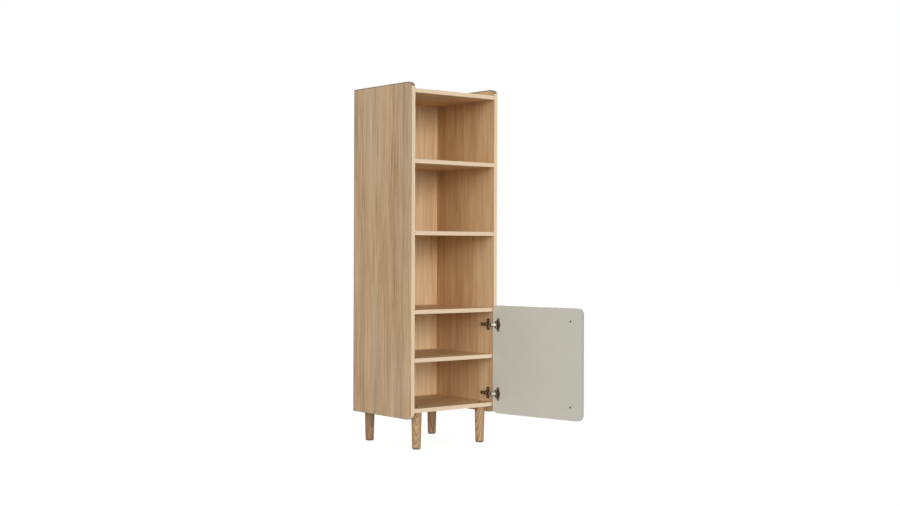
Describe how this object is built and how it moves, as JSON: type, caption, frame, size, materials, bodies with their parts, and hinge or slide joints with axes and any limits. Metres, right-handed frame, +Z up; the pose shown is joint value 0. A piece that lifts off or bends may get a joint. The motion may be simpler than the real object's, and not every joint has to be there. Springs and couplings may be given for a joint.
{
  "type": "bookshelf",
  "caption": "Tall narrow wood-veneer bookshelf with open shelves above a cupboard, its pale door open on concealed cup hinges, on round tapered legs.",
  "frame": {"origin": "on the floor, in the middle of the front left foot's glide", "axes": "+Z up, +Y from the open front to the back panel, +X to the hinge side, right seen from the front"},
  "size_m": [0.5816, 0.9191, 1.6],
  "materials": {
    "veneered_board": "satin",
    "solid_wood": "satin",
    "tongue_plywood": "matte",
    "painted_door": "satin",
    "black_plastic": "matte",
    "zinc_steel": "satin",
    "nickel_steel": "polished",
    "bronzed_steel": "satin"
  },
  "bodies": {
    "carcass": {"side_panel_left": "veneered_board", "side_panel_right": "veneered_board", "top_panel": "veneered_board", "shelf_1": "veneered_board", "shelf_2": "veneered_board", "cupboard_top": "veneered_board", "cupboard_shelf": "veneered_board", "bottom_panel": "veneered_board", "back_panel": "veneered_board", "leg_front_left": "solid_wood", "leg_front_right": "solid_wood", "leg_rear_left": "solid_wood", "leg_rear_right": "solid_wood", "leg_glides": "black_plastic", "leg_inserts": "zinc_steel", "leg_bolts": "zinc_steel", "board_tongues": "tongue_plywood", "arm_screws": "nickel_steel", "plate_screws": "nickel_steel", "lower_hinge_plate": "bronzed_steel", "lower_hinge_arm": "bronzed_steel", "lower_arm_pins": "nickel_steel", "upper_hinge_plate": "bronzed_steel", "upper_hinge_arm": "bronzed_steel", "upper_arm_pins": "nickel_steel"},
    "outer_links": {"lower_outer_link": "nickel_steel", "upper_outer_link": "nickel_steel"},
    "door": {"door_panel": "painted_door", "door_pull": "solid_wood", "pull_screws": "zinc_steel", "cup_screws": "nickel_steel", "lower_hinge_cup": "bronzed_steel", "upper_hinge_cup": "bronzed_steel", "lower_cup_pins": "nickel_steel", "upper_cup_pins": "nickel_steel"},
    "inner_links": {"lower_inner_link": "nickel_steel", "upper_inner_link": "nickel_steel"}
  },
  "joints": [
    {"name": "outer_link_swing", "type": "hinge", "parent": "carcass", "child": "outer_links", "pos_m": [0.38628, -0.035, 0.3775], "axis": [0, 0, 1], "range_deg": [-1.1, 33.7]},
    {"name": "door_swing", "type": "hinge", "parent": "outer_links", "child": "door", "pos_m": [0.4022, -0.0595, 0.3775], "axis": [0, 0, -1], "range_deg": [-4.2, 134.4]},
    {"name": "inner_link_swing", "type": "hinge", "parent": "carcass", "child": "inner_links", "pos_m": [0.38809, -0.05182, 0.3775], "axis": [0, 0, 1], "range_deg": [-1.1, 33.7]}
  ],
  "couplings": [
    {"joint": "outer_link_swing", "follows": "door_swing", "ratio": 0.25},
    {"joint": "inner_link_swing", "follows": "door_swing", "ratio": 0.25}
  ]
}
